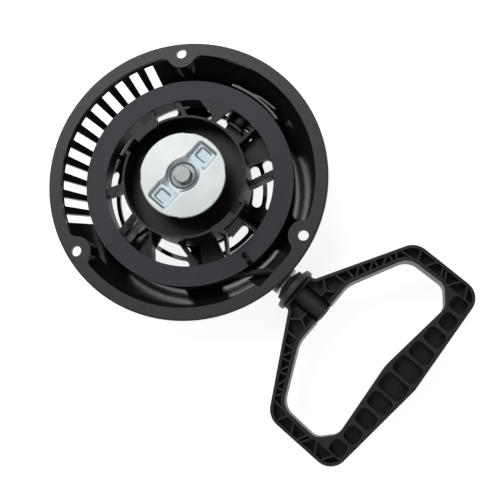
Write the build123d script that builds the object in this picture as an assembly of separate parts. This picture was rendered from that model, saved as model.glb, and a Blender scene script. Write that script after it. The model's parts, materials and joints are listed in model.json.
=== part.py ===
"""Recoil starter for a small petrol engine, with a mitten-grip pull handle.

Millimetres. The origin is the centre of the bolt circle on the flange's mounting face.
+Z points out of that face, towards the engine. +X is the direction in which the rope is pulled.
"""
import os
from math import atan2, cos, degrees, hypot, radians, sin, sqrt

from build123d import *

# ---- Housing ---------------------------------------------------------------------------------
FLANGE_R = 95.0
FLANGE_T = 3.5
SHELL_TOP = -FLANGE_T + 0.5
MOUTH_R = 86.5
FLANGE_LIP = 0.4
BOLT_R = 88.0
BOLT_HOLE_R = 3.5
BOLT_ANGLES = (13.65, 133.65, 253.65)
EAR_R = 10.0
EAR_SOCKET_R = 7.6
WALL_T = 2.5
PLATE_Z = -42.0
PLATE_T = 3.0
PLATE_R = 68.5
SIDE_SLOTS = 12
SIDE_SLOT_CENTRE = 193.65
SIDE_SLOT_PITCH = 7.9
SIDE_SLOT_W = 6.3
SIDE_SLOT_CORNER = 0.6
SECTORS = 6
SECTOR_CENTRE = -15.0
ARC_SLOT_SPAN = 40.0
ARC_SLOT_ROWS = ((43.5, 7.0), (53.5, 7.0), (62.6, 5.6))
WELL_R = 37.0
POST_R = 7.0
POST_TOP = 4.0
GUARD_R = 72.8
GUARD_T = 1.3
GUARD_SPAN = (75.5, 107)
GUARD_LOW = -34.0
GUARD_TOP = -8.6
# The guard's second, outer wall leaves it on a slant, as points and a thickness.
GUARD_BRANCH = ((-18.4, 71.6), (-6.0, 73.8), (0.5, 75.5), (12.5, 75.5))
BRANCH_T = 1.0

# ---- Rope exit -------------------------------------------------------------------------------
PULL_Y = -9.0
PULL_Z = -16.3
EXIT_X = 86.5
EXIT_HALF_W = 15.0
EXIT_ROUND_R = 90.5
EYELET_R = 8.0
EYELET_BORE_R = 3.8
EYELET_BODY_R = 5.6

# ---- Reel ------------------------------------------------------------------------------------
RING_R = 71.5
RING_IN_R = 57.9
RING_T = 2.0
REEL_TOP = -9.6
REEL_BOTTOM = -23.0
DRUM_R = 60.0
CUP_R = 41.8
CUP_T = 1.5
CUP_TOP = 6.0
CUP_FLOOR = -12.5
BULGE = 3.2
PLATFORM_R = 24.0
PLATFORM_TOP = -1.0
BUSH_R = 9.5
HUB_TAIL_R = 12.5
HUB_TAIL_BOTTOM = -40.5
NOTCH_ANGLE = -12.3
# Where each spoke leaves the hub and meets the ring, in degrees, and its width.
SPOKES = ((130.7, 140.2, 3.4), (163.8, 158.2, 2.0), (221.0, 226.5, 5.0), (248.4, 255.7, 2.0),
          (257.8, 262.9, 1.8), (271.3, 285.5, 1.8), (302.5, 317.9, 2.6), (347.6, 337.8, 1.8),
          (6.7, 3.6, 1.8), (36.9, 46.1, 4.0), (78.0, 80.0, 1.8))

# Closed floors between the hub and the ring, in degrees, and the small holes through the first one.
FLOOR_SPANS = ((59.0, 101.0), (319.0, 336.0), (272.0, 281.0))
FLOOR_HOLES = (((2.0, 53.3), (9.3, 56.2)), ((5.4, 47.6), (8.2, 52.0)), ((9.8, 48.0), (11.4, 51.6)))

# ---- Pawls and guide plate -------------------------------------------------------------------
DISC_R = 28.9
DISC_TOP = 9.3
SHEET_T = 1.2
PRESS_DEPTH = 1.5
RECESS_R = 8.8
SCREW_R = 3.0
PIVOT = (16.5, -1.2)
PIVOT_PIN_R = 2.0
CAM_PIN = (8.5, 14.0)
CAM_PIN_R = 1.5
PAWL_TIP = (6.9, 25.2)
PAWL_Z = (-0.7, 3.8)

# ---- Rope and handle -------------------------------------------------------------------------
ROPE_R = 2.3
TURN_R = 66.9
BEND_R = 9.0
COLLAR_X = (100.4, 104.2)
COLLAR_R = 15.2
BUMPER_R = 11.2
HANDLE_T = 18.0
BARREL_R = 7.6
KNOT_R = 4.4
# One half of the handle's outline and of its loop: along the pull, out from it, corner radius.
HANDLE_OUTLINE = ((104.5, 13.0, 1.0), (108.4, 13.0, 3.0), (143.2, 73.6, 13.0), (195.8, 73.6, 12.0),
                  (202.2, 0.0, 0.0))
HANDLE_LOOP = ((127.0, 24.5, 20.0), (146.0, 62.6, 12.0), (174.0, 63.4, 8.0), (183.6, 52.5, 9.0))
LOOP_NEAR = 127.2
LOOP_FAR = 178.3
HANDLE_WALL = 2.2
POCKET_DEPTH = 8.0
RIB_T = 1.3
# The grip's pockets on one side of the pull line: two opposite corners each, and the corners' radius.
GRIP_POCKETS = ((181.7, 1.0, 199.4, 13.2), (183.1, 15.1, 198.0, 25.9), (184.1, 28.3, 197.0, 38.8),
                (185.6, 41.3, 195.5, 51.8), (183.6, 54.2, 194.4, 63.4))
GRIP_CORNER = 3.2
GRIP_ZONE = (174.5, 64.4)
# Chains of ribs in one arm, as points along the pull and out from it.
ARM_RIBS = (((118.7, 6.0), (118.7, 12.1), (111.5, 18.0)), ((118.7, 12.1), (127.0, 16.5)),
            ((113.0, 24.0), (128.0, 24.0)),
            ((119.0, 31.5), (129.5, 29.5), (124.0, 39.5), (133.5, 37.5), (129.0, 47.5), (137.5, 44.5),
             (134.0, 56.0), (142.6, 53.6), (136.4, 62.6)),
            ((136.0, 62.4), (149.5, 63.9)), ((147.6, 74.0), (153.4, 61.5)),
            ((156.0, 62.0), (162.5, 74.0)), ((165.0, 74.0), (171.0, 62.5)), ((174.0, 62.5), (168.0, 74.0)),
            ((175.0, 63.0), (182.0, 74.0)), ((184.5, 74.0), (189.5, 64.0)))


def polar(radius, angle):
    """A point in the XY plane from a radius and an angle in degrees."""
    return radius * cos(radians(angle)), radius * sin(radians(angle))


def cylinder(radius, low, high, centre=(0, 0)):
    """An upright cylinder between two heights."""
    return Pos(centre[0], centre[1], low) * extrude(Circle(radius), high - low)


def ring(outer, inner, low, high, centre=(0, 0)):
    """An upright tube between two heights."""
    return Pos(centre[0], centre[1], low) * extrude(Circle(outer) - Circle(inner), high - low)


def block(low, high):
    """A box between two opposite corners."""
    size = [high[i] - low[i] for i in range(3)]
    middle = [(high[i] + low[i]) / 2 for i in range(3)]
    return Pos(*middle) * Box(*size)


def sector(outer, inner, start, end, low, high):
    """A slice of an upright tube between two angles in degrees."""
    big = CenterArc((0, 0), outer, start, end - start)
    small = CenterArc((0, 0), inner, start, end - start)
    face = make_face([big, small, Line(big @ 0, small @ 0), Line(big @ 1, small @ 1)])
    return Pos(0, 0, low) * extrude(face, high - low)


def revolved(points):
    """A solid of revolution about Z from (radius, height) points."""
    return revolve(Plane.XZ * make_face(Polyline(*points, close=True)), Axis.Z)


def along_pull(radius, near, far):
    """A cylinder along the pull line between two distances."""
    return Pos(near, PULL_Y, PULL_Z) * Rot(0, 90, 0) * extrude(Circle(radius), far - near)


def bar(start, end, width, low, high):
    """A straight upright rib between two points of the XY plane."""
    length = hypot(end[0] - start[0], end[1] - start[1])
    turn = degrees(atan2(end[1] - start[1], end[0] - start[0]))
    middle = ((start[0] + end[0]) / 2, (start[1] + end[1]) / 2, (low + high) / 2)
    return Pos(*middle) * Rot(0, 0, turn) * Box(length, width, high - low)


# ---- Housing and what is fixed to it ---------------------------------------------------------
def wall_radius(z):
    """The bowl's inner radius at a height: widest just under the mouth, then narrowing downwards."""
    share = (SHELL_TOP - z) / (SHELL_TOP - PLATE_Z)
    return MOUTH_R + FLANGE_LIP - share * (MOUTH_R + FLANGE_LIP - PLATE_R)


def flange():
    """The bolting flange: a ring whose mouth dips in round each bolt hole and is straight at the exit."""
    mouth = Sketch() + Circle(MOUTH_R)
    for angle in BOLT_ANGLES:
        mouth -= Pos(*polar(BOLT_R, angle)) * Circle(EAR_R)
    corners = [v for v in mouth.vertices() if abs(hypot(v.X, v.Y) - MOUTH_R) < 0.01 and abs(v.Y) > 0.01]
    mouth = fillet(corners, 6.0)
    exit_mouth = RectangleRounded(20, 2 * (EXIT_HALF_W - FLANGE_LIP), 2.0)
    mouth += Pos(EXIT_X - 10 - FLANGE_LIP, PULL_Y) * exit_mouth
    plate = Circle(FLANGE_R) - mouth
    for angle in BOLT_ANGLES:
        plate -= Pos(*polar(BOLT_R, angle)) * Circle(BOLT_HOLE_R)
    plate = extrude(plate, -FLANGE_T)
    rim = plate.edges().filter_by(GeomType.CIRCLE).filter_by(lambda e: abs(e.radius - FLANGE_R) < 0.01)
    return fillet(rim, 1.2)


def bowl_space(grow=0.0):
    """The space inside the bowl, made wider by a distance."""
    top = wall_radius(SHELL_TOP) + grow
    corner = wall_radius(PLATE_Z + 4) + grow
    return revolved([(0, SHELL_TOP), (top, SHELL_TOP), (corner, PLATE_Z + 4), (PLATE_R - 3 + grow, PLATE_Z),
                     (0, PLATE_Z)])


def housing():
    low = PLATE_Z - PLATE_T
    top, foot = wall_radius(SHELL_TOP) + WALL_T, wall_radius(PLATE_Z) + WALL_T
    cone = revolved([(0, SHELL_TOP), (top, SHELL_TOP), (foot, PLATE_Z), (foot - 2, low), (0, low)])
    bowl = bowl_space()
    trim = bowl_space(WALL_T / 2)
    shell = cone - bowl

    # Each ear is backed by a half-round socket that sinks into the wall and takes the bolt head.
    for angle in BOLT_ANGLES:
        place = polar(BOLT_R, angle)
        shell += cylinder(EAR_R - FLANGE_LIP, -24, SHELL_TOP, place) & trim
    # The rope leaves through a flat-walled box.
    box_y = (PULL_Y - EXIT_HALF_W, PULL_Y + EXIT_HALF_W)
    box = block((62, box_y[0] - WALL_T, -29), (EXIT_X + 3, box_y[1] + WALL_T, SHELL_TOP))
    shell += (box & cylinder(EXIT_ROUND_R, -30, SHELL_TOP)) - bowl
    inside = block((60, box_y[0], -26.5), (EXIT_X, box_y[1], 1))
    shell -= inside & cylinder(EXIT_ROUND_R - 1.6, -27, 2)
    shell += along_pull(EYELET_R + 2.0, EXIT_X + 2, FLANGE_R - 0.5)
    shell += flange()
    for angle in BOLT_ANGLES:
        shell -= cylinder(EAR_SOCKET_R, low - 5, -FLANGE_T, polar(BOLT_R, angle))
        shell -= cylinder(BOLT_HOLE_R, -10, 5, polar(BOLT_R, angle))
    shell -= along_pull(EYELET_BODY_R, EXIT_X - 5, FLANGE_R + 5)

    # Cooling slots through the side wall, each running down the wall.
    for step in range(SIDE_SLOTS):
        angle = SIDE_SLOT_CENTRE + (step - (SIDE_SLOTS - 1) / 2) * SIDE_SLOT_PITCH
        slot = block((62, -SIDE_SLOT_W / 2, -36), (92, SIDE_SLOT_W / 2, -FLANGE_T - 1.5))
        along = slot.edges().filter_by(Axis.X)
        shell -= Rot(0, 0, angle) * fillet(along, SIDE_SLOT_CORNER)
    # Arc slots through the front plate, in three rows.
    for step in range(SECTORS):
        middle = SECTOR_CENTRE + step * 360 / SECTORS
        for radius, width in ARC_SLOT_ROWS:
            span = ARC_SLOT_SPAN - degrees(width / radius)
            path = CenterArc((0, 0), radius, middle - span / 2, span)
            shell -= Pos(0, 0, low - 1) * extrude(SlotArc(path, width), PLATE_T + 2)

    # The spring's well, the post that everything turns on, and the rope guard beside the reel.
    shell += ring(WELL_R + 2, WELL_R, PLATE_Z, -27.0)
    shell += cylinder(POST_R, PLATE_Z, POST_TOP)
    shell -= cylinder(4.5, -16, POST_TOP + 1)
    shell -= cylinder(SCREW_R + 0.4, -19, -15)
    shell += sector(GUARD_R + GUARD_T, GUARD_R, *GUARD_SPAN, GUARD_LOW, GUARD_TOP) & trim
    for start, end in zip(GUARD_BRANCH, GUARD_BRANCH[1:]):
        shell += bar(start, end, BRANCH_T, GUARD_LOW, GUARD_TOP) & trim
        shell += cylinder(BRANCH_T / 2, GUARD_LOW, GUARD_TOP, end) & trim
    # A rib stands on the front plate between each pair of slot sectors.
    for step in range(SECTORS):
        angle = SECTOR_CENTRE + (step + 0.5) * 360 / SECTORS
        shell += bar(polar(WELL_R + 1, angle), polar(PLATE_R - 1, angle), 2.2, PLATE_Z - 1, PLATE_Z + 5)
    return shell


def rope_eyelet():
    """A pressed metal ring, flanged on both sides of the exit wall."""
    eyelet = along_pull(EYELET_BODY_R - 0.02, EXIT_X - 0.1, FLANGE_R + 0.1)
    eyelet += along_pull(EYELET_R, EXIT_X - 1.6, EXIT_X - 0.02)
    eyelet += along_pull(EYELET_R, FLANGE_R - 0.48, FLANGE_R + 1.1)
    eyelet -= along_pull(EYELET_BORE_R, EXIT_X - 5, FLANGE_R + 5)
    lips = eyelet.edges().filter_by(GeomType.CIRCLE)
    lips = lips.filter_by(lambda e: e.radius < EYELET_BORE_R + 0.01 or e.radius > EYELET_R - 0.01)
    outer = [e for e in lips if not EXIT_X - 0.1 < e.center().X < FLANGE_R + 0.1]
    return fillet(outer, 0.7)


def spindle_insert():
    return ring(4.45, SCREW_R + 0.05, -14.0, POST_TOP - 0.1)


def thrust_washer():
    return ring(POST_R + 1.4, SCREW_R + 0.3, POST_TOP, POST_TOP + 0.7)


def centre_screw():
    """A hexagon-head screw with a chamfered head and a plain shank."""
    head_low = DISC_TOP - PRESS_DEPTH * 2 + 1.0
    head = Pos(0, 0, head_low) * extrude(RegularPolygon(6.2, 6), 4.4)
    head &= revolved([(0, head_low), (6.2, head_low), (6.2, head_low + 3.6), (5.2, head_low + 4.4),
                      (0, head_low + 4.4)])
    return head + cylinder(SCREW_R, -13.5, head_low + 1)


def screw_washer():
    head_low = DISC_TOP - PRESS_DEPTH * 2 + 1.0
    washer = ring(RECESS_R - 0.9, SCREW_R + 0.2, head_low - 0.8, head_low)
    return fillet(washer.edges().group_by(Axis.Z)[-1].filter_by(lambda e: e.radius > 5), 0.35)


def brake_spring():
    """Three close turns of wire round the top of the post."""
    turns = [Pos(0, 0, 1.0 + 0.85 * step) * Torus(POST_R + 0.9, 0.4) for step in range(3)]
    links = [ring(POST_R + 1.1, POST_R + 0.7, 1.0 + 0.85 * step, 1.85 + 0.85 * step) for step in range(2)]
    return turns[0] + turns[1:] + links


def spring_cover():
    cover = ring(WELL_R + 1.6, HUB_TAIL_R + 1.0, -27.0, -26.2)
    for step in range(4):
        cover -= cylinder(3.0, -28, -25, polar(28.0, 45 + 90 * step))
    return cover


def recoil_spring():
    """A flat strip wound in half turns whose centres alternate, so that each joins the next smoothly."""
    thickness, pitch, width = 0.5, 1.7, 9.5
    start = HUB_TAIL_R + 1.6
    half_turns = 24
    outer, inner = [], []
    for step in range(half_turns):
        centre = (pitch / 4 * (1 - (-1) ** step), 0)
        radius = start + step * pitch / 2
        angle = 180 * (step % 2)
        outer.append(CenterArc(centre, radius + thickness / 2, angle, 180))
        inner.append(CenterArc(centre, radius - thickness / 2, angle, 180))
    ends = [Line(outer[0] @ 0, inner[0] @ 0), Line(outer[-1] @ 1, inner[-1] @ 1)]
    strip = extrude(make_face(outer + inner + ends), width)
    hook = block((WELL_R - 3.4, -2.0, 0), (WELL_R - 0.3, -1.4, width))
    return Pos(0, 0, PLATE_Z + 2.5) * strip + Pos(0, 0, PLATE_Z + 2.5) * hook


# ---- Rope ------------------------------------------------------------------------------------
def rope_corner():
    """Where the taut rope's two straight runs would meet, and where it leaves the reel."""
    corner = (EXIT_X - 4.5, PULL_Y)
    reach = hypot(*corner)
    leave = degrees(atan2(corner[1], corner[0])) - degrees(atan2(sqrt(reach**2 - TURN_R**2), TURN_R))
    return corner, polar(TURN_R, leave), leave


def starter_rope():
    """The rope on the reel, as one solid of its turns, and the run from it to the eyelet."""
    corner, start, leave = rope_corner()
    turns = ring(TURN_R + ROPE_R, DRUM_R + 0.3, REEL_BOTTOM + RING_T + 0.3, REEL_TOP - RING_T - 0.3)
    path = FilletPolyline((start[0], start[1], PULL_Z), (corner[0], corner[1], PULL_Z),
                          (FLANGE_R + 1.0, PULL_Y, PULL_Z), radius=BEND_R)
    print("rope bend radius", BEND_R, "turn", round(90 + leave, 1), "lead length", round(path.length, 1))
    lead = sweep(Plane(origin=path @ 0, z_dir=path % 0) * Circle(ROPE_R), path)
    return turns + lead


def rope_end():
    return along_pull(ROPE_R, FLANGE_R + 1.3, 113.0)


def knot_washer():
    """A dished steel washer that the knot pulls against."""
    return along_pull(4.9, 113.0, 114.2) - along_pull(ROPE_R + 0.2, 112, 115)


def handle_knot():
    knot = Pos(114.3 + KNOT_R - 0.2, PULL_Y, PULL_Z) * Sphere(KNOT_R)
    tail = along_pull(ROPE_R, 120.0, 124.5)
    return knot + tail + along_pull(ROPE_R - 0.02, 113.0, 117.0)


# ---- Reel and what turns with it -------------------------------------------------------------
def cup_wall():
    """The hub's wall: round, but stepped out on two opposite sides."""
    wall = ring(CUP_R, CUP_R - CUP_T, REEL_BOTTOM, CUP_TOP)
    for turn in (0, 180):
        wall -= Rot(0, 0, turn) * sector(CUP_R + 1, CUP_R - 3, -18, 15, CUP_FLOOR, CUP_TOP + 1)
        step = sector(CUP_R + BULGE, CUP_R - CUP_T, -20, 17, CUP_FLOOR - 2, CUP_TOP)
        step -= sector(CUP_R + BULGE - CUP_T, CUP_R - 3, -18, 15, CUP_FLOOR, CUP_TOP + 1)
        ledge = sector(CUP_R + BULGE - 0.8, CUP_R - 2.2, -21, 2.4, CUP_TOP - 2.2, CUP_TOP)
        lug = block((CUP_R + 1.5, -9.8, -2.5), (CUP_R + 8.5, 1.5, CUP_TOP - 2.0))
        wall += [Rot(0, 0, turn) * part for part in (step, ledge, lug)]
    return wall


def reel():
    body = ring(RING_R, RING_IN_R, REEL_TOP - RING_T, REEL_TOP)
    body += ring(RING_R, RING_IN_R, REEL_BOTTOM, REEL_BOTTOM + RING_T)
    body += ring(DRUM_R, RING_IN_R, REEL_BOTTOM, REEL_TOP)
    body += cup_wall()
    body += ring(CUP_R - 0.5, PLATFORM_R - 1, CUP_FLOOR - 2, CUP_FLOOR)
    body += ring(PLATFORM_R, PLATFORM_R - 2.5, REEL_BOTTOM, PLATFORM_TOP)
    body += ring(PLATFORM_R - 1, BUSH_R, PLATFORM_TOP - 3.5, PLATFORM_TOP)
    body += ring(HUB_TAIL_R, BUSH_R, HUB_TAIL_BOTTOM, PLATFORM_TOP)
    for step in range(6):
        angle = 30 + 60 * step
        body += bar(polar(HUB_TAIL_R - 1, angle), polar(PLATFORM_R - 1, angle), 2.0, REEL_BOTTOM, -2)
    for hub_angle, ring_angle, width in SPOKES:
        body += bar(polar(CUP_R - 0.7, hub_angle), polar(RING_IN_R + 1, ring_angle), width,
                    REEL_BOTTOM + 2, REEL_TOP - 1.2)
    # A flat web ties the ring to the hub beside the knot's pocket.
    web = Polyline(polar(RING_IN_R + 1, 100), (-13.0, 44.5), (-14.2, 39.0), (-18.5, 38.0), (-17.0, 45.0),
                   (-29.5, 47.5), polar(RING_IN_R + 1, 125), close=True)
    body += Pos(0, 0, REEL_TOP - 2) * extrude(make_face(web), 2)
    # The knot's pocket has a floor, and a hole through the drum into the groove.
    body += bar(polar(49.8, 100), polar(RING_IN_R + 1, 100), 1.6, REEL_BOTTOM, REEL_TOP - 1)
    # Floors close the gaps beside the pocket and beside two of the spokes.
    for start, end in FLOOR_SPANS:
        body += sector(RING_IN_R + 0.5, CUP_R - 0.8, start, end, REEL_BOTTOM, REEL_BOTTOM + 2)
    body += sector(50.6, 49.0, 86, 100, REEL_BOTTOM, REEL_TOP - 4)
    for low_corner, high_corner in FLOOR_HOLES:
        body -= block((*low_corner, REEL_BOTTOM - 1), (*high_corner, REEL_BOTTOM + 3))
    tunnel = extrude(Circle(ROPE_R + 0.1), DRUM_R + 1 - 51.0)
    body -= Pos(0, 0, PULL_Z) * Rot(0, 0, 92) * Pos(51.0, 0, 0) * Rot(0, 90, 0) * tunnel
    body -= cylinder(BUSH_R, HUB_TAIL_BOTTOM - 1, PLATFORM_TOP + 1)
    # The rope notch in the top ring.
    notch = Rot(0, 0, NOTCH_ANGLE) * Pos(69.5, 0, REEL_TOP) * Box(15, 3.6, 6)
    body -= fillet(notch.edges().filter_by(Axis.Z).group_by(Axis.X)[0], 1.5)
    for turn in (0, 180):
        place = Rot(0, 0, turn) * Pos(*PIVOT)
        body += Rot(0, 0, turn) * cylinder(4.0, PLATFORM_TOP - 6, PLATFORM_TOP - 3, PIVOT)
        body -= place * cylinder(4.6, PLATFORM_TOP - 2.6, PLATFORM_TOP + 1)
        body -= place * cylinder(PIVOT_PIN_R, PLATFORM_TOP - 6, PLATFORM_TOP)
    return body


def reel_bushing():
    return ring(BUSH_R, POST_R + 0.05, HUB_TAIL_BOTTOM, PLATFORM_TOP)


def reel_knot():
    """The knot in its pocket and the short piece of rope that runs through the drum."""
    knot = Rot(0, 0, 92) * Pos(54.6, 0, PULL_Z) * Sphere(3.4)
    through = Rot(0, 90, 0) * extrude(Circle(ROPE_R), DRUM_R - 55.1)
    return knot + Pos(0, 0, PULL_Z) * Rot(0, 0, 92) * Pos(55, 0, 0) * through


def pawl_pivots():
    """Two steel pins pressed into the reel, one group."""
    pins = [Rot(0, 0, turn) * cylinder(PIVOT_PIN_R, PLATFORM_TOP - 6, 4.6, PIVOT) for turn in (0, 180)]
    return Compound(children=pins)


def pawl():
    """A curved steel pawl with its pivot eye, driving tip and cam pin."""
    low, high = PAWL_Z
    eye = cylinder(4.2, low, high, PIVOT)
    outside = [(20.6, -0.4), (19.6, 8.0), (15.0, 17.6), (9.4, 25.4), PAWL_TIP, (4.6, 22.8), (5.8, 14.0),
               (8.2, 10.8), (13.2, 3.0), (13.0, 0.6)]
    blade = extrude(make_face(Polyline(*outside, close=True)), high - low)
    body = eye + Pos(0, 0, low) * blade
    body -= cylinder(PIVOT_PIN_R + 0.06, low - 1, high + 1, PIVOT)
    return body + cylinder(CAM_PIN_R, high - 1, DISC_TOP - SHEET_T - 0.6, CAM_PIN)


def pawl_springs():
    """Two small torsion springs round the pivots, sunk in the reel's platform, one group."""
    springs = []
    for turn in (0, 180):
        coils = [Pos(PIVOT[0], PIVOT[1], -3.0 + 0.7 * step) * Torus(3.4, 0.35) for step in range(3)]
        joints = [ring(3.55, 3.25, -3.0, -1.6, PIVOT)]
        springs.append(Rot(0, 0, turn) * (coils[0] + coils[1:] + joints))
    return Compound(children=springs)


def cam_outline(grow):
    """The S-shaped outline pressed into the guide plate, made larger by a distance."""
    outline = Sketch() + Circle(12.0 + grow)
    for side in (-1, 1):
        pad = RectangleRounded(13.0 + 2 * grow, 17.0 + 2 * grow, 2.6 + grow)
        outline += Pos(0, side * 17.6) * pad
    return outline


def guide_plate():
    """A pressed steel disc whose sunk S is the cam that throws the pawls out."""
    low = DISC_TOP - SHEET_T
    plate = cylinder(DISC_R, low, DISC_TOP)
    plate += Pos(0, 0, low - PRESS_DEPTH) * extrude(cam_outline(0), PRESS_DEPTH + 0.5)
    plate -= Pos(0, 0, DISC_TOP - PRESS_DEPTH) * extrude(cam_outline(-1.1), PRESS_DEPTH + 1)
    plate += cylinder(RECESS_R + 1.0, POST_TOP + 0.9, DISC_TOP - PRESS_DEPTH)
    plate -= cylinder(RECESS_R, POST_TOP + 2.1, DISC_TOP + 1)
    for side in (-1, 1):
        pocket = Pos(0, side * 18.0, low - PRESS_DEPTH)
        plate += pocket * Pos(0, 0, -1.2) * extrude(RectangleRounded(8.6, 10.6, 1.8), 1.6)
        plate -= pocket * extrude(RectangleRounded(6.6, 8.6, 1.2), 6)
    plate -= cylinder(SCREW_R + 0.6, 0, DISC_TOP + 1)
    # Four shallow steps in the disc's edge.
    for angle in (40, 118, 216, 294):
        plate -= sector(DISC_R + 1, DISC_R - 0.6, angle, angle + 11, low - 1, DISC_TOP + 1)
    return plate


# ---- Handle ----------------------------------------------------------------------------------
def handle_point(reach, out):
    return reach, PULL_Y + out


def mirrored(half):
    """A closed outline from one half of it, with its corner radii, the second half mirrored."""
    return list(half) + [(reach, -out, radius) for reach, out, radius in reversed(half) if out > 0]


def rounded_outline(corners):
    """A face from corner points, each rounded by its own radius."""
    face = make_face(Polyline(*[handle_point(reach, out) for reach, out, _ in corners], close=True))
    for reach, out, radius in corners:
        if radius > 0:
            here = handle_point(reach, out)
            near = [v for v in face.vertices() if hypot(v.X - here[0], v.Y - here[1]) < 0.01]
            face = fillet(near, radius)
    return face


def handle_loop():
    """The opening for the hand, its barrel side and its bowed grip side."""
    half = [(LOOP_NEAR, 0.0, 0.0)] + list(HANDLE_LOOP) + [(LOOP_FAR, 0.0, 30.0)]
    return rounded_outline(mirrored(half))


def handle_ribs(low, high):
    """The ribs that cross the arms' hollows, in both arms."""
    ribs = []
    for side in (-1, 1):
        for chain in ARM_RIBS:
            points = [handle_point(reach, side * out) for reach, out in chain]
            ribs += [bar(a, b, RIB_T, low, high) for a, b in zip(points, points[1:])]
    return ribs


def grip_pockets():
    """The rounded pockets along the grip, as one sketch."""
    pockets = Sketch()
    for side in (-1, 1):
        for near, out_near, far, out_far in GRIP_POCKETS:
            centre = handle_point((near + far) / 2, side * (out_near + out_far) / 2)
            pockets += Pos(*centre) * RectangleRounded(far - near, out_far - out_near, GRIP_CORNER)
    return pockets


def handle_frame():
    low, high = PULL_Z - HANDLE_T / 2, PULL_Z + HANDLE_T / 2
    outline, loop = rounded_outline(mirrored(HANDLE_OUTLINE)), handle_loop()
    frame = Pos(0, 0, low) * extrude(outline - loop, HANDLE_T)
    rims = frame.edges().group_by(Axis.Z)
    frame = fillet(rims[0] + rims[-1], 0.8)
    zone_near, zone_out = GRIP_ZONE
    grip_zone = Pos(*handle_point(zone_near + 20, 0)) * Rectangle(40, 2 * zone_out)
    hollow = offset(outline, -HANDLE_WALL) - offset(loop, HANDLE_WALL + 0.2) - grip_zone
    hollow += grip_pockets()
    pockets = Pos(0, 0, high - POCKET_DEPTH) * extrude(hollow, POCKET_DEPTH + 1)
    pockets += Pos(0, 0, low - 1) * extrude(hollow, POCKET_DEPTH + 1)
    pockets -= handle_ribs(low + 0.5, high - 0.5)
    pockets -= along_pull(BARREL_R, 100, LOOP_NEAR + 4)
    pockets -= along_pull(BARREL_R + 0.7, 100, 107)
    pockets -= block((104, PULL_Y - 13, low), (106, PULL_Y + 13, high))
    # The barrel runs to the loop's edge, so the wall beside the loop is cut down to its height there.
    crown_half = BARREL_R - 0.4
    crown = block((112, PULL_Y - crown_half, low - 1), (LOOP_NEAR + 1, PULL_Y + crown_half, high + 1))
    pockets += crown - along_pull(BARREL_R, 100, LOOP_NEAR + 4)
    frame -= pockets
    frame -= along_pull(ROPE_R + 0.5, 100, 114)
    return frame - along_pull(5.2, 113.0, 130)


def handle_collar():
    collar = along_pull(COLLAR_R, *COLLAR_X) - along_pull(ROPE_R + 0.5, 90, 110)
    rims = collar.edges().filter_by(GeomType.CIRCLE).filter_by(lambda e: e.radius > COLLAR_R - 0.1)
    return fillet(rims, 0.8)


def handle_bumper():
    """A rubber sleeve with two ridges that meets the eyelet when the handle is home."""
    near, far = FLANGE_R + 1.6, COLLAR_X[0]
    sleeve = along_pull(BUMPER_R - 1.0, near, far)
    for place in (near + 0.4, near + 2.3):
        sleeve += along_pull(BUMPER_R, place, place + 1.1)
    return sleeve - along_pull(ROPE_R + 0.5, 90, 110)


PARTS = {
    "housing": housing, "rope_eyelet": rope_eyelet, "spindle_insert": spindle_insert,
    "thrust_washer": thrust_washer, "centre_screw": centre_screw, "screw_washer": screw_washer,
    "brake_spring": brake_spring, "spring_cover": spring_cover, "recoil_spring": recoil_spring,
    "starter_rope": starter_rope, "reel": reel, "reel_bushing": reel_bushing, "reel_knot": reel_knot,
    "pawl_pivots": pawl_pivots, "pawl_springs": pawl_springs, "guide_plate": guide_plate,
    "rope_end": rope_end, "knot_washer": knot_washer, "handle_knot": handle_knot,
    "handle_frame": handle_frame, "handle_collar": handle_collar, "handle_bumper": handle_bumper,
}

os.makedirs("parts", exist_ok=True)
for name, make in PARTS.items():
    export_step(make(), f"parts/{name}.step")
for name, turn in (("pawl_a", 0), ("pawl_b", 180)):
    export_step(Rot(0, 0, turn) * pawl(), f"parts/{name}.step")
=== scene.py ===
# %% [markdown]
# # A recoil starter, finished over its CAD frame
#
# A recoil starter is the pull-cord unit on the front of a small engine. A black moulded bowl holds a
# reel of rope. Two steel pawls swing out from under a bright pressed disc when the reel turns, and a
# mitten-grip handle hangs on the rope's end. The CAD frame already has every part at its real size,
# so this file only gives the parts their surfaces: pressed metal, braided rope and finishes.
# Everything is in metres.

# %% Load the frame
import json
from math import atan2, cos, degrees, hypot, pi, radians, sin, sqrt

import bmesh
import bpy
from mathutils import Matrix, Vector


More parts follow.
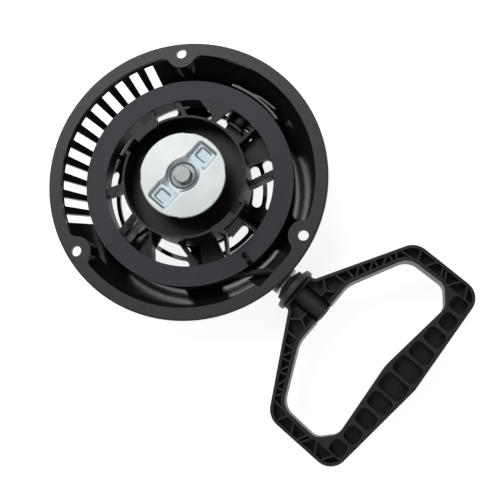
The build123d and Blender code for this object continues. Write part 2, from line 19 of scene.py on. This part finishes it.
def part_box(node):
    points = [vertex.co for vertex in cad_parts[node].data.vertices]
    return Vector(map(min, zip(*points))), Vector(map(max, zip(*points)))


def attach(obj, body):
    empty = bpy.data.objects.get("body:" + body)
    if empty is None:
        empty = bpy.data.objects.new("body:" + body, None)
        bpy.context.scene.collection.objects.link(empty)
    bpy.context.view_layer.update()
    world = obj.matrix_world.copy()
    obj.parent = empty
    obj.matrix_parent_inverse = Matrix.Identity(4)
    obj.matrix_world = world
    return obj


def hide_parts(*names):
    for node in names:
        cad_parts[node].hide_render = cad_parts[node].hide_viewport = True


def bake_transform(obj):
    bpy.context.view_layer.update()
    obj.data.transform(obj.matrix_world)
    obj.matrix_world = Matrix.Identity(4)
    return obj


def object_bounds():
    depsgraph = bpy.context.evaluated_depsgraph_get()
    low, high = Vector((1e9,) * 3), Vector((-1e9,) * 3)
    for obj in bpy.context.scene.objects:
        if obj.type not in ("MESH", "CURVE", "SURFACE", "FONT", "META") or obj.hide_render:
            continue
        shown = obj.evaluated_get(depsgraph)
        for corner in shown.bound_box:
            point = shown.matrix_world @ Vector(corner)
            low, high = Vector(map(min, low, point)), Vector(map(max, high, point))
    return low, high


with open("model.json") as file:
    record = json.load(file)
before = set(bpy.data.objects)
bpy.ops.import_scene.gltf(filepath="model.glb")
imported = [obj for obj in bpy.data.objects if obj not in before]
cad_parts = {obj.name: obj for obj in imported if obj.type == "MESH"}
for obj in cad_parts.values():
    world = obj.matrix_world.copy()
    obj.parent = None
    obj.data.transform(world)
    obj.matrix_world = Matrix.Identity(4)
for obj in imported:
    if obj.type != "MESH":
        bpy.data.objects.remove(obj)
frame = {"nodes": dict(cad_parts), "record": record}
cad_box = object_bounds()
nodes = frame["nodes"]
MM = 0.001
print("CAD nodes:", len(nodes), "box:", [round(side, 4) for corner in cad_box for side in corner])

# %% [markdown]
# ## Camera
#
# The starter lies on its front plate with the engine side up, and the camera looks almost straight
# down on it. The camera is aimed with three plain facts: where it is, the point it looks at, and
# which way on the floor is up in the picture. That is easier to read and to change than a rotation.

# %% Camera
EYE = Vector((0.1785, -0.0285, 0.5408))
AIM = Vector((0.0651, -0.0088, 0.0))
PICTURE_UP = radians(131.0)
LENS = 61.2


def aimed(eye, aim, up):
    """A rotation that looks from eye to aim with the direction up towards the top of the picture."""
    forward = (aim - eye).normalized()
    right = forward.cross(up).normalized()
    columns = (right, right.cross(forward), -forward)
    return Matrix([[column[row] for column in columns] for row in range(3)]).to_4x4()


camera = bpy.data.objects.new("camera", bpy.data.cameras.new("camera"))
camera.data.lens = LENS
camera.data.clip_end = 10.0
camera.matrix_world = Matrix.Translation(EYE) @ aimed(EYE, AIM, Vector((cos(PICTURE_UP), sin(PICTURE_UP), 0)))
bpy.context.scene.collection.objects.link(camera)
bpy.context.scene.camera = camera
print("camera tilt:", round(degrees((EYE - AIM).angle(Vector((0, 0, 1)))), 1), "degrees")

# %% [markdown]
# ## Shader maths as Python
#
# Materials here are worked out, not painted. Wiring dozens of Math nodes by hand is hard to read, so
# a small class wraps a socket and turns Python's operators into Math nodes. A second class builds a
# material: it adds any node with its settings first and its inputs second.


# %% Shader helpers
class Value:
    """A number that varies over a surface. Arithmetic on it adds Math nodes."""

    def __init__(self, finish, socket):
        self.finish = finish
        self.socket = socket

    def math(self, operation, *others, first=None):
        """This value and others through one Math node."""
        operands = [self, *others] if first is None else [first, self, *others]
        node = self.finish.node("ShaderNodeMath", {"operation": operation},
                                {place: operand for place, operand in enumerate(operands)})
        return Value(self.finish, node.outputs[0])

    def __add__(self, other):
        return self.math("ADD", other)

    def __sub__(self, other):
        return self.math("SUBTRACT", other)

    def __rsub__(self, other):
        return self.math("SUBTRACT", first=other)

    def __mul__(self, other):
        return self.math("MULTIPLY", other)

    def __truediv__(self, other):
        return self.math("DIVIDE", other)

    __radd__ = __add__
    __rmul__ = __mul__

    def step(self, low, high):
        """0 below low, 1 above high, smooth between them."""
        node = self.finish.node("ShaderNodeMapRange", {"interpolation_type": "SMOOTHSTEP"},
                                {"Value": self, "From Min": low, "From Max": high})
        return Value(self.finish, node.outputs["Result"])


class Finish:
    """A procedural material being built, on Object coordinates."""

    def __init__(self, name, color, roughness, **settings):
        self.material = bpy.data.materials.new(name)
        self.material.use_nodes = True
        self.tree = self.material.node_tree
        self.shader = self.tree.nodes["Principled BSDF"]
        self.color = (*color, 1.0)
        self.set("Base Color", self.color)
        self.set("Roughness", roughness)
        for key, value in settings.items():
            self.set(key.replace("_", " ").title().replace("Ior", "IOR"), value)
        self.material.diffuse_color = self.color
        self.place = self.node("ShaderNodeTexCoord").outputs["Object"]
        self.heights = []

    def join(self, value, socket):
        """Links a value or a socket to a socket, or sets a plain number or colour."""
        if isinstance(value, Value):
            value = value.socket
        if isinstance(value, bpy.types.NodeSocket):
            self.tree.links.new(value, socket)
        else:
            socket.default_value = value

    def node(self, kind, settings=None, inputs=None):
        """Any node: its settings first, then the values or links of its inputs."""
        made = self.tree.nodes.new(kind)
        for key, value in (settings or {}).items():
            setattr(made, key, value)
        for key, value in (inputs or {}).items():
            self.join(value, made.inputs[key])
        return made

    def set(self, socket, value):
        self.join(value, self.shader.inputs[socket])

    def stretched(self, scale, turn=(0, 0, 0), centre=(0, 0, 0)):
        """Object coordinates moved to a centre, turned and scaled differently along each axis."""
        moved = self.node("ShaderNodeVectorMath", {"operation": "SUBTRACT"}, {0: self.place, 1: centre})
        return self.node("ShaderNodeMapping", {}, {"Vector": moved.outputs[0], "Rotation": turn,
                                                   "Scale": scale}).outputs[0]

    def noise(self, scale, detail=2.0, rough=0.5, place=None):
        node = self.node("ShaderNodeTexNoise", {}, {"Vector": place or self.place, "Scale": scale,
                                                    "Detail": detail, "Roughness": rough})
        return Value(self, node.outputs["Fac"])

    def axis(self, name, place=None):
        node = self.node("ShaderNodeSeparateXYZ", {}, {"Vector": place or self.place})
        return Value(self, node.outputs[name])

    def mix(self, share, low, high):
        """A colour between two others."""
        pair = [(*side, 1.0) if isinstance(side, tuple) and len(side) == 3 else side for side in (low, high)]
        node = self.node("ShaderNodeMix", {"data_type": "RGBA"}, {"Factor": share, 6: pair[0], 7: pair[1]})
        return node.outputs[2]

    def emboss(self, height, distance, strength=1.0):
        """Adds a bump; later ones ride on earlier ones."""
        inputs = {"Height": height, "Distance": distance, "Strength": strength}
        if self.heights:
            inputs["Normal"] = self.heights[-1]
        self.heights.append(self.node("ShaderNodeBump", {}, inputs).outputs[0])
        self.set("Normal", self.heights[-1])


# %% [markdown]
# ## Moulded plastics
#
# The bowl, reel and handle are glass-filled nylon. Close up, such a surface is never one flat black:
# it has a fine grain from the mould, slow changes of sheen where the melt cooled, and a few fine
# scuffs. Each plastic mixes those three at its own strength. The mould has a texture on the faces that
# a hand or the engine meets, so those are duller, and is polished inside, where the plastic shines.
# Their colour is painted shade as well: pale on those outer faces and near black down inside the
# bowl, in the reel's cup and windows and in the handle's pockets, where less light reaches. A mask
# worked out from the point's place tells the two apart.


# %% Plastics
def plastic(name, deep, pale, roughness, texture_and_shade_mask=None, scuffs=0.5, grain=0.00003, **settings):
    """Moulded plastic: rough with grain and pale where the mask is 1, polished and near black where it is 0;
    pale to near black is painted shade.
    """
    finish = Finish(name, deep, roughness[0], **settings)
    mask = texture_and_shade_mask(finish) if texture_and_shade_mask else 1.0
    cloud = finish.noise(26.0, 3.0, 0.55)
    fine = finish.noise(1100.0, 2.0, 0.6)
    lines = finish.noise(60.0, 2.0, 0.5, finish.stretched((1.0, 14.0, 3.0), (0.3, 0.2, 0.7)))
    scuff = lines.step(0.68, 0.78) * cloud.step(0.5, 0.72) * scuffs
    # Pale on the outer faces, near black where the mask is 0: that darkening is painted shade.
    share = (cloud.step(0.2, 0.8) * 0.25 + 0.75) * mask
    finish.set("Base Color", finish.mix(share + scuff * 0.3, deep, pale))
    smooth = roughness[1] - roughness[0]
    finish.set("Roughness", mask * smooth + (roughness[0] - 0.05) + cloud * 0.08 + fine * mask * 0.08
               + scuff * 0.12)
    finish.emboss(fine * mask, grain, 0.6)
    return finish.material


def bolting_face(finish):
    """1 on the bowl's flange, 0 down inside the bowl, which the colour shows in painted shade."""
    return finish.axis("Z").step(-0.0016, -0.0006)


def ring_faces(finish):
    """1 on the reel's flat top ring, 0 in its windows and its hub, which the colour shows in painted shade.
    """
    spread = finish.node("ShaderNodeVectorMath", {"operation": "MULTIPLY"}, {0: finish.place, 1: (1, 1, 0)})
    length = finish.node("ShaderNodeVectorMath", {"operation": "LENGTH"}, {0: spread.outputs[0]})
    radius = Value(finish, length.outputs["Value"])
    flat = finish.axis("Z").step(-0.0104, -0.0097)
    rim = finish.axis("Z").step(0.0035, 0.0052) * 0.55
    return flat * radius.step(0.052, 0.0565) + rim


def handle_faces(finish):
    """1 on the handle's outer faces, 0 down in its pockets, which the colour shows in painted shade."""
    height = finish.axis("Z")
    above = height.step(-0.0120, -0.0083)
    below = 1 - height.step(-0.0242, -0.0205)
    return (above + below) * 0.85 + 0.15


BOWL_BLACK = plastic("bowl_black", (0.011, 0.0115, 0.0135), (0.033, 0.0335, 0.043), (0.14, 0.46),
                     bolting_face, 0.35, specular_ior_level=0.5)
REEL_GREY = plastic("reel_grey", (0.0095, 0.010, 0.012), (0.054, 0.0545, 0.069), (0.40, 0.50),
                    ring_faces, 0.4, specular_ior_level=0.3)
HANDLE_BLACK = plastic("handle_black", (0.0095, 0.010, 0.0125), (0.026, 0.0265, 0.033), (0.42, 0.40),
                       handle_faces, 0.6, 0.00005, specular_ior_level=0.4)
RUBBER_BLACK = plastic("rubber_black", (0.012, 0.012, 0.0125), (0.016, 0.016, 0.0165), (0.5, 0.55), None, 0.3)
COLLAR_BLACK = plastic("collar_black", (0.02, 0.02, 0.022), (0.045, 0.045, 0.048), (0.3, 0.35), None, 0.3)

# %% [markdown]
# ## Metals
#
# The pressed disc and its screw are zinc plated and passivated: a bright, slightly rough metal whose
# thin film shows pale green and blue. Down in the pressing the disc is darker and bluer, partly the
# film's tint and partly painted shade on the sunk walls and in the screw well. The springs are darker
# strip and wire, the pawls are plain steel, and the bushing and the insert are brass.


# %% Metals
def metal(name, color, tint, roughness, streak=(1.0, 9.0, 1.0), tint_share=0.5, pressed=None, **settings):
    """Bare or plated metal: patches of tint, fine streaks and, where it was pressed, a darker, bluer tone
    that is partly film and partly painted shade.
    """
    finish = Finish(name, color, roughness, metallic=1.0, **settings)
    patch = finish.noise(70.0, 3.0, 0.55)
    brushed = finish.noise(420.0, 3.0, 0.6, finish.stretched(streak))
    share = patch.step(0.35, 0.7) * tint_share
    if pressed:
        share = share + pressed(finish)
    finish.set("Base Color", finish.mix(share, color, tint))
    finish.set("Roughness", roughness - 0.06 + patch * 0.10 + brushed * 0.08)
    finish.emboss(brushed, 0.00001, 0.35)
    return finish.material


def pressed_tint_and_shade(finish):
    """Share of a darker, bluer tone, growing as the guide plate's metal lies lower below its flat face:
    partly the film's tint, partly painted shade.
    """
    height = finish.axis("Z")
    return (1 - height.step(0.0086, 0.0092)) * 0.55 + height.step(0.0066, 0.0076) * -0.35 + 0.35


ZINC = metal("zinc_plate", (0.60, 0.63, 0.62), (0.46, 0.56, 0.63), 0.46, tint_share=0.12, pressed=pressed_tint_and_shade)
SCREW_ZINC = metal("screw_zinc", (0.30, 0.33, 0.32), (0.46, 0.50, 0.48), 0.46, tint_share=0.9)
STEEL = metal("bright_steel", (0.60, 0.60, 0.59), (0.50, 0.49, 0.47), 0.30)
SPRING_STEEL = metal("spring_steel", (0.26, 0.26, 0.28), (0.16, 0.17, 0.22), 0.35)
BRASS = metal("brass", (0.72, 0.53, 0.25), (0.55, 0.40, 0.20), 0.35)
ROPE_BLACK = plastic("rope_black", (0.012, 0.012, 0.013), (0.03, 0.03, 0.031), (0.6, 0.7), None, 0.2)

# %% Give every CAD node its finish
FINISHES = {"black_plastic": BOWL_BLACK, "reel_plastic": REEL_GREY, "handle_plastic": HANDLE_BLACK,
            "rubber": RUBBER_BLACK, "rope": ROPE_BLACK, "zinc_plate": ZINC, "bright_steel": STEEL,
            "spring_steel": SPRING_STEEL, "brass": BRASS}
for row in frame["record"]["subparts"]:
    node = nodes[row["node"]]
    node.data.materials.clear()
    node.data.materials.append(FINISHES[row["material_slot"]])
OWN_FINISHES = {"handle_collar": COLLAR_BLACK, "centre_screw": SCREW_ZINC, "screw_washer": SCREW_ZINC}
for name, finish in OWN_FINISHES.items():
    nodes[name].data.materials[0] = finish

# %% [markdown]
# ## The pressed guide plate
#
# The bright disc is one pressing: a flat blank whose middle is sunk into an S, with a small pocket in
# each end of the S and a round well for the screw. Boolean cuts would give it knife edges that no
# press can make. Here its top is a height that depends on the distance to the S's outline, so that
# every step rolls over with the radius of the tool. A net of rings and spokes is laid over the
# disc, its points are dropped by that height, and Solidify gives it the sheet's thickness.

# %% Guide plate
DISC_R = 28.9 * MM
DISC_TOP = 9.3 * MM
SHEET = 0.6 * MM
PRESS = 1.4 * MM
WELL_R = 8.9 * MM
WELL_DEPTH = 1.5 * MM
CAM_R = 11.6 * MM
NECK = 7.0 * MM
PAD_SHIFT, PAD_Y = 1.45 * MM, 18.4 * MM
PAD = (8.3 * MM, 7.3 * MM, 2.8 * MM)
POCKET_Y, POCKET_DEPTH = 19.0 * MM, 0.9 * MM
POCKET = (4.6 * MM, 3.9 * MM, 1.6 * MM)
RIM_DROP, RIM_ROLL = 0.35 * MM, 0.8 * MM
HOLE_R = 3.7 * MM
RINGS, SPOKES = 88, 288
STEP_ANGLE, STEP_DEPTH, EDGE_GAP = 11, 0.6 * MM, 0.02 * MM
EDGE_STEPS = (40, 118, 216, 294)


def smooth(value, low, high):
    share = min(1.0, max(0.0, (value - low) / (high - low)))
    return share * share * (3 - 2 * share)


def rounded_box(x, y, half_x, half_y, corner):
    """Distance to a rectangle with rounded corners, negative inside it."""
    over_x, over_y = abs(x) - half_x + corner, abs(y) - half_y + corner
    return hypot(max(over_x, 0), max(over_y, 0)) + min(max(over_x, over_y), 0) - corner


def merged(one, other, reach):
    """Distance to two outlines joined with a rounded inner corner."""
    share = max(0.0, reach - abs(one - other)) / reach
    return min(one, other) - share * share * reach / 4


def plate_height(x, y):
    """How far the pressing lies below the disc's flat face, at a point."""
    radius = hypot(x, y)
    pads = min(rounded_box(x - side * PAD_SHIFT, y - side * PAD_Y, *PAD) for side in (-1, 1))
    cam = merged(radius - CAM_R, pads, NECK)
    pockets = min(rounded_box(x - side * PAD_SHIFT, y - side * POCKET_Y, *POCKET) for side in (-1, 1))
    drop = PRESS * (1 - smooth(cam, -2.2 * MM, 0.1 * MM))
    drop += POCKET_DEPTH * (1 - smooth(pockets, -0.9 * MM, 0.3 * MM))
    drop += WELL_DEPTH * (1 - smooth(radius - WELL_R, -0.7 * MM, 0.5 * MM))
    return drop + RIM_DROP * smooth(radius, DISC_R - RIM_ROLL, DISC_R) ** 2


def pressed_plate():
    bm = bmesh.new()
    grid = []
    for ring in range(RINGS + 1):
        row = []
        for spoke in range(SPOKES):
            angle = 2 * pi * spoke / SPOKES
            stepped = any(0 <= (degrees(angle) - start) % 360 <= STEP_ANGLE for start in EDGE_STEPS)
            reach = DISC_R - (STEP_DEPTH if stepped else 0.0) - EDGE_GAP
            radius = HOLE_R + (reach - HOLE_R) * ring / RINGS
            x, y = radius * cos(angle), radius * sin(angle)
            row.append(bm.verts.new((x, y, DISC_TOP - plate_height(x, y))))
        grid.append(row)
    for inner, outer in zip(grid, grid[1:]):
        for spoke in range(SPOKES):
            after = (spoke + 1) % SPOKES
            bm.faces.new((inner[spoke], outer[spoke], outer[after], inner[after]))
    mesh = bpy.data.meshes.new("guide_plate_pressed")
    bm.to_mesh(mesh)
    bm.free()
    mesh.polygons.foreach_set("use_smooth", [True] * len(mesh.polygons))
    plate = bpy.data.objects.new("guide_plate_pressed", mesh)
    bpy.context.scene.collection.objects.link(plate)
    solid = plate.modifiers.new("sheet", "SOLIDIFY")
    solid.thickness = SHEET
    solid.offset = -1
    mesh.materials.append(ZINC)
    return plate


plate = pressed_plate()
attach(plate, "guide_plate")
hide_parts("guide_plate")
print("guide plate points:", len(plate.data.vertices))

# %% [markdown]
# ## The braided rope
#
# The rope is braided cord, 4.6 mm thick. Four turns lie on the reel in two layers; the rope then runs
# to the exit, bends and leaves through the eyelet. Modelling every strand would take far more faces.
# One Geometry Nodes tree makes the braid from any path instead: it sweeps a circle along the path and
# pushes the surface in and out where two sets of crossing helices meet, which is what a braid's
# crowns are. The short run to the handle is a separate piece, because that run grows longer as the
# rope pays out. The same tree makes both, so their braids match.

# %% Sizes of the braid
ROPE_R = 2.3 * MM
RELIEF = 0.16 * MM
BRAID = {"Core Radius": ROPE_R - RELIEF, "Ring Spacing": 0.6 * MM, "Sides": 20, "Crowns": 4.0,
         "Pitch": 3.6 * MM, "Relief": RELIEF}
print("braid:", BRAID)

# %% A tree that braids a rope along any path

def braid_tree():
    tree = bpy.data.node_groups.new("braided_rope", "GeometryNodeTree")
    sockets = {}
    for name, kind in [("Geometry", "Geometry"), ("Core Radius", "Float"), ("Ring Spacing", "Float"),
                       ("Sides", "Int"), ("Crowns", "Float"), ("Pitch", "Float"), ("Relief", "Float"),
                       ("Material", "Material")]:
        sockets[name] = tree.interface.new_socket(name, in_out="INPUT", socket_type="NodeSocket" + kind)
    tree.interface.new_socket("Geometry", in_out="OUTPUT", socket_type="NodeSocketGeometry")

    def node(kind, settings=None, inputs=None):
        made = tree.nodes.new(kind)
        for key, value in (settings or {}).items():
            setattr(made, key, value)
        for key, value in (inputs or {}).items():
            if isinstance(value, bpy.types.NodeSocket):
                tree.links.new(value, made.inputs[key])
            else:
                made.inputs[key].default_value = value
        return made

    def maths(operation, first, second=0.0):
        return node("ShaderNodeMath", {"operation": operation}, {0: first, 1: second}).outputs[0]

    def captured(geometry, value, name):
        keep = node("GeometryNodeCaptureAttribute", {}, {"Geometry": geometry})
        keep.capture_items.new("FLOAT", name)
        tree.links.new(value, keep.inputs[name])
        return keep.outputs["Geometry"], keep.outputs[name]

    given = node("NodeGroupInput").outputs
    path = node("GeometryNodeMeshToCurve", {}, {"Mesh": given["Geometry"]}).outputs[0]
    rings = node("GeometryNodeResampleCurve", {"mode": "LENGTH"},
                 {"Curve": path, "Length": given["Ring Spacing"]})
    length = node("GeometryNodeSplineParameter").outputs["Length"]
    along_rope, along = captured(rings.outputs[0], length, "along")
    circle = node("GeometryNodeCurvePrimitiveCircle", {},
                  {"Resolution": given["Sides"], "Radius": given["Core Radius"]})
    share = node("GeometryNodeSplineParameter").outputs["Factor"]
    profile, around = captured(circle.outputs[0], share, "around")
    tube = node("GeometryNodeCurveToMesh", {},
                {"Curve": along_rope, "Profile Curve": profile, "Fill Caps": True})
    turned = maths("MULTIPLY", maths("MULTIPLY", around, given["Crowns"]), 2 * pi)
    run = maths("MULTIPLY", maths("DIVIDE", along, given["Pitch"]), 2 * pi)
    rising = maths("SINE", maths("ADD", turned, run))
    falling = maths("SINE", maths("SUBTRACT", turned, run))
    crowns = maths("ABSOLUTE", maths("MULTIPLY", rising, falling))
    height = maths("MULTIPLY", crowns, given["Relief"])
    push = node("ShaderNodeVectorMath", {"operation": "SCALE"},
                {0: node("GeometryNodeInputNormal").outputs[0], "Scale": height})
    shaped = node("GeometryNodeSetPosition", {}, {"Geometry": tube.outputs[0], "Offset": push.outputs[0]})
    soft = node("GeometryNodeSetShadeSmooth", {}, {"Geometry": shaped.outputs[0]})
    real = node("GeometryNodeRealizeInstances", {}, {"Geometry": soft.outputs[0]})
    coated = node("GeometryNodeSetMaterial", {}, {"Geometry": real.outputs[0], "Material": given["Material"]})
    tree.links.new(coated.outputs[0], node("NodeGroupOutput").inputs[0])
    return tree, {name: socket.identifier for name, socket in sockets.items()}


BRAID_TREE, BRAID_INPUTS = braid_tree()
print("braid tree nodes:", len(BRAID_TREE.nodes))

# %% A rope made by the tree

def braided(name, points):
    """A finished mesh of rope along points, made by the tree."""
    line = bpy.data.meshes.new(name + "_path")
    line.from_pydata(points, [(place, place + 1) for place in range(len(points) - 1)], [])
    rope = bpy.data.objects.new(name, line)
    bpy.context.scene.collection.objects.link(rope)
    braid = rope.modifiers.new("braid", "NODES")
    braid.node_group = BRAID_TREE
    for key, value in BRAID.items():
        braid[BRAID_INPUTS[key]] = value
    braid[BRAID_INPUTS["Material"]] = ROPE_BLACK
    evaluated = rope.evaluated_get(bpy.context.evaluated_depsgraph_get())
    solid = bpy.data.meshes.new_from_object(evaluated)
    solid.name = name
    rope.modifiers.remove(braid)
    rope.data = solid
    print(name, "faces:", len(solid.polygons), "box:", [round(side, 4) for side in rope.dimensions])
    return rope


# %% Route of the rope
TURNS = 4
INNER_R, OUTER_R = 62.6 * MM, 66.9 * MM
LOW_Z, HIGH_Z = -18.4 * MM, -14.2 * MM
PULL_Y, PULL_Z = -9.0 * MM, -16.3 * MM
EXIT_CORNER_X = 82.0 * MM
CORNER = Vector((EXIT_CORNER_X, PULL_Y, PULL_Z))
LEAD_END = 96.0 * MM
ROPE_GAP = 0.2 * MM
BEND_R = 9.0 * MM
TURN_STEPS = 120
LAYER_CHANGE, ROW_UP, ROW_DOWN, CROSSING = 2.0, 1.0, 3.0, 0.1


def crossing(turn, middle):
    """0 before a place on the coil, counted in turns, and 1 after it."""
    return smooth(turn, middle - CROSSING, middle + CROSSING)


def coil():
    """Four turns on the drum, ending where the straight run to the exit begins."""
    reach = hypot(CORNER.x, CORNER.y)
    leave = atan2(CORNER.y, CORNER.x) - atan2(sqrt(reach * reach - OUTER_R * OUTER_R), OUTER_R)
    points = []
    for step in range(TURNS * TURN_STEPS + 1):
        turn = step / TURN_STEPS
        angle = leave + 2 * pi * (turn - TURNS)
        radius = INNER_R + (OUTER_R - INNER_R) * crossing(turn, LAYER_CHANGE)
        height = LOW_Z + (HIGH_Z - LOW_Z) * (crossing(turn, ROW_UP) - crossing(turn, ROW_DOWN))
        points.append(Vector((radius * cos(angle), radius * sin(angle), height)))
    return points


def bent(start, corner, end, radius, steps=16):
    """Points from start to end round a corner with a bend of that radius."""
    inward, outward = (start - corner).normalized(), (end - corner).normalized()
    half = inward.angle(outward) / 2
    centre = corner + (inward + outward).normalized() * (radius / sin(half))
    first, last = [corner + side * (radius / sin(half) * cos(half)) for side in (inward, outward)]
    spokes = [(first - centre).normalized(), (last - centre).normalized()]
    arc = [centre + spokes[0].slerp(spokes[1], step / steps) * radius for step in range(steps + 1)]
    return arc + [end]


turns = coil()
route = turns + bent(turns[-1], CORNER, Vector((LEAD_END, PULL_Y, PULL_Z)), BEND_R)
rope = braided("rope_on_reel", route)
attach(rope, "root")
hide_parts("starter_rope")
handle_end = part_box("rope_end")[1][0]
run_ends = (LEAD_END + ROPE_GAP, handle_end)
pulled_run = braided("rope_to_handle", [Vector((x, PULL_Y, PULL_Z)) for x in run_ends])
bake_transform(pulled_run)
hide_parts("rope_end")
print("rope length:", round(sum((b - a).length for a, b in zip(route, route[1:])), 3), "m")

# %% [markdown]
# ## Studio
#
# A white floor lies under the part. The large key light and a low panel shine from the -X side, and a
# weaker light from the other side opens the shadows. The floor glows a little, as a light table does,
# so that the openings through the bowl read as clean white.

# %% Floor, lights and surroundings
FLOOR_Z = cad_box[0][2] - 0.0005
FLOOR_HALF = 3.0


def studio_floor():
    mesh = bpy.data.meshes.new("floor")
    corners = [(x * FLOOR_HALF, y * FLOOR_HALF, FLOOR_Z) for x, y in ((-1, -1), (1, -1), (1, 1), (-1, 1))]
    mesh.from_pydata(corners, [], [(0, 1, 2, 3)])
    floor = bpy.data.objects.new("floor", mesh)
    bpy.context.scene.collection.objects.link(floor)
    finish = Finish("floor_white", (0.6, 0.6, 0.6), 0.9, emission_color=(1, 1, 1, 1), emission_strength=0.85)
    mesh.materials.append(finish.material)


def soft_light(name, place, target, size, power):
    light = bpy.data.objects.new(name, bpy.data.lights.new(name, "AREA"))
    light.data.shape = "RECTANGLE"
    light.data.size, light.data.size_y = size
    light.data.energy = power
    turned = aimed(Vector(place), Vector(target), Vector((0.01, 1, 0.02)))
    light.matrix_world = Matrix.Translation(place) @ turned
    bpy.context.scene.collection.objects.link(light)


studio_floor()
soft_light("key", (-0.46, 0.18, 0.80), (0.0, 0, 0), (0.55, 0.6), 3.6)
soft_light("left_panel", (-0.80, 0.0, 0.30), (0.0, 0, 0), (0.3, 0.5), 1.2)
soft_light("side", (0.7, -0.5, 0.9), (0.05, 0, 0), (0.5, 0.9), 1.4)
world = bpy.data.worlds.new("studio")
world.use_nodes = True
world.node_tree.nodes["Background"].inputs["Color"].default_value = (1, 1, 1, 1)
world.node_tree.nodes["Background"].inputs["Strength"].default_value = 0.22
bpy.context.scene.world = world
bpy.context.scene.view_settings.view_transform = "Standard"
